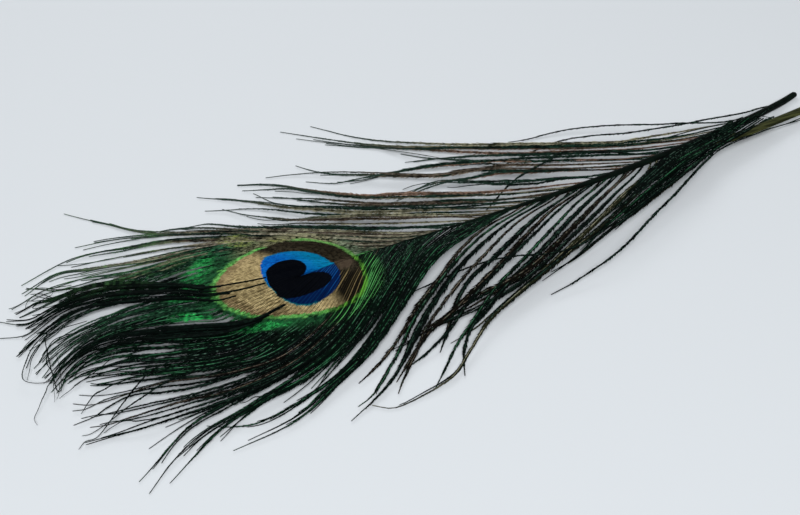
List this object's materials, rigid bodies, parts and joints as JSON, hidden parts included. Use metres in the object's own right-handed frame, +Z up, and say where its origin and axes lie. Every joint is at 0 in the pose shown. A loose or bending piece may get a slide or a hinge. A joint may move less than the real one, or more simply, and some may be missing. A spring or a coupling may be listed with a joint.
{
  "type": "peacock feather",
  "caption": "Eyed tail feather of a peacock, cut short and lying flat: thin arched shaft, long loose barbs on both sides and a knitted blue and bronze eye at the tip.",
  "frame": {"origin": "middle of the feather's outline, on the surface it lies on", "axes": "+X along the shaft towards its cut end, +Z up from the surface"},
  "size_m": [0.303, 0.1447, 0.0083],
  "materials": {
    "barbs": "iridescent"
  },
  "bodies": {
    "root": {"feather": "barbs"}
  },
  "joints": []
}
